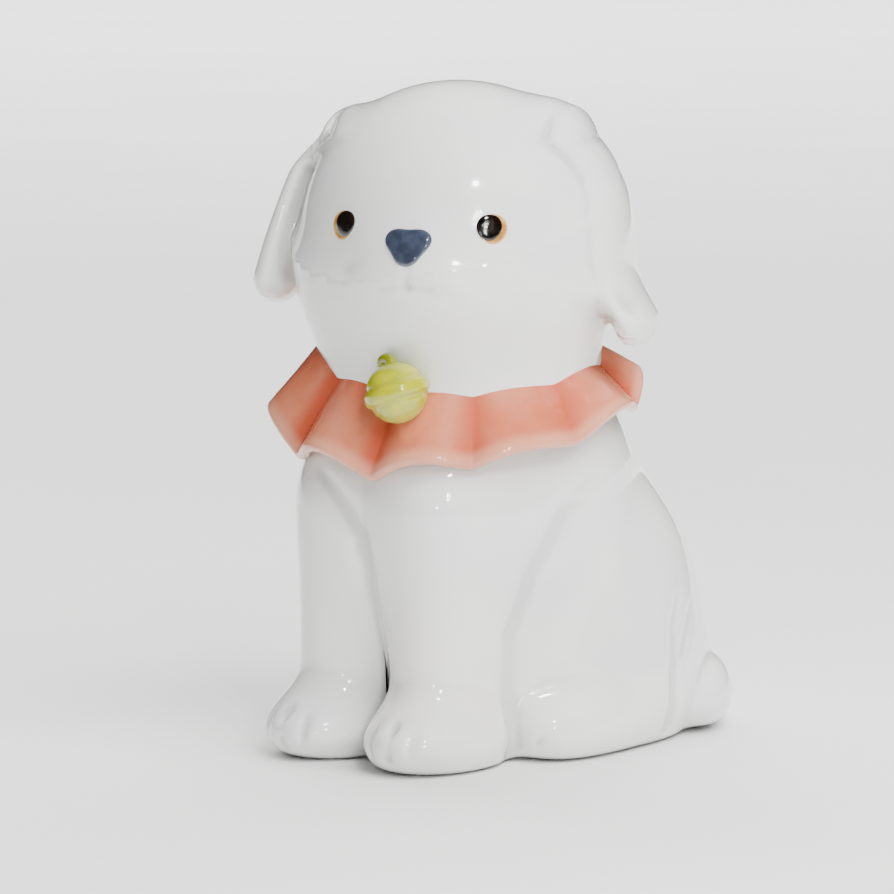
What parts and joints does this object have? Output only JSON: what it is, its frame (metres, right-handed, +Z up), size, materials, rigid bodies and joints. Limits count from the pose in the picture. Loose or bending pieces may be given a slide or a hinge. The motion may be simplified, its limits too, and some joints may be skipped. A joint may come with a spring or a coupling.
{
  "type": "dog figurine",
  "caption": "Small seated puppy figurine in glazed porcelain with hanging ears, turned head, pleated coral collar and round bell.",
  "frame": {"origin": "on the resting plane, under the middle of the figure's bounding box", "axes": "+Z up; the dog's body faces -Y; the dog's left side is +X"},
  "size_m": [0.0537, 0.0649, 0.087],
  "materials": {
    "white_glaze": "white porcelain under a glossy clear glaze",
    "coral_glaze": "translucent coral glaze, deeper in the folds and pale on the edges",
    "bell_glaze": "yellow-green glaze, olive in the recesses and orange at one side",
    "amber_enamel": "thin amber enamel spot",
    "black_enamel": "black enamel spot, glossy",
    "slate_enamel": "blue-grey enamel, glossy"
  },
  "bodies": {
    "root": {"body_casting": "white_glaze", "head_casting": "white_glaze", "left_ear": "white_glaze", "right_ear": "white_glaze", "left_foreleg": "white_glaze", "right_foreleg": "white_glaze", "left_hind_paw": "white_glaze", "right_hind_paw": "white_glaze", "tail": "white_glaze", "ruffled_collar": "coral_glaze", "bell": "bell_glaze", "bell_loop": "bell_glaze", "left_iris": "amber_enamel", "right_iris": "amber_enamel", "left_pupil": "black_enamel", "right_pupil": "black_enamel", "nose": "slate_enamel"}
  },
  "joints": []
}
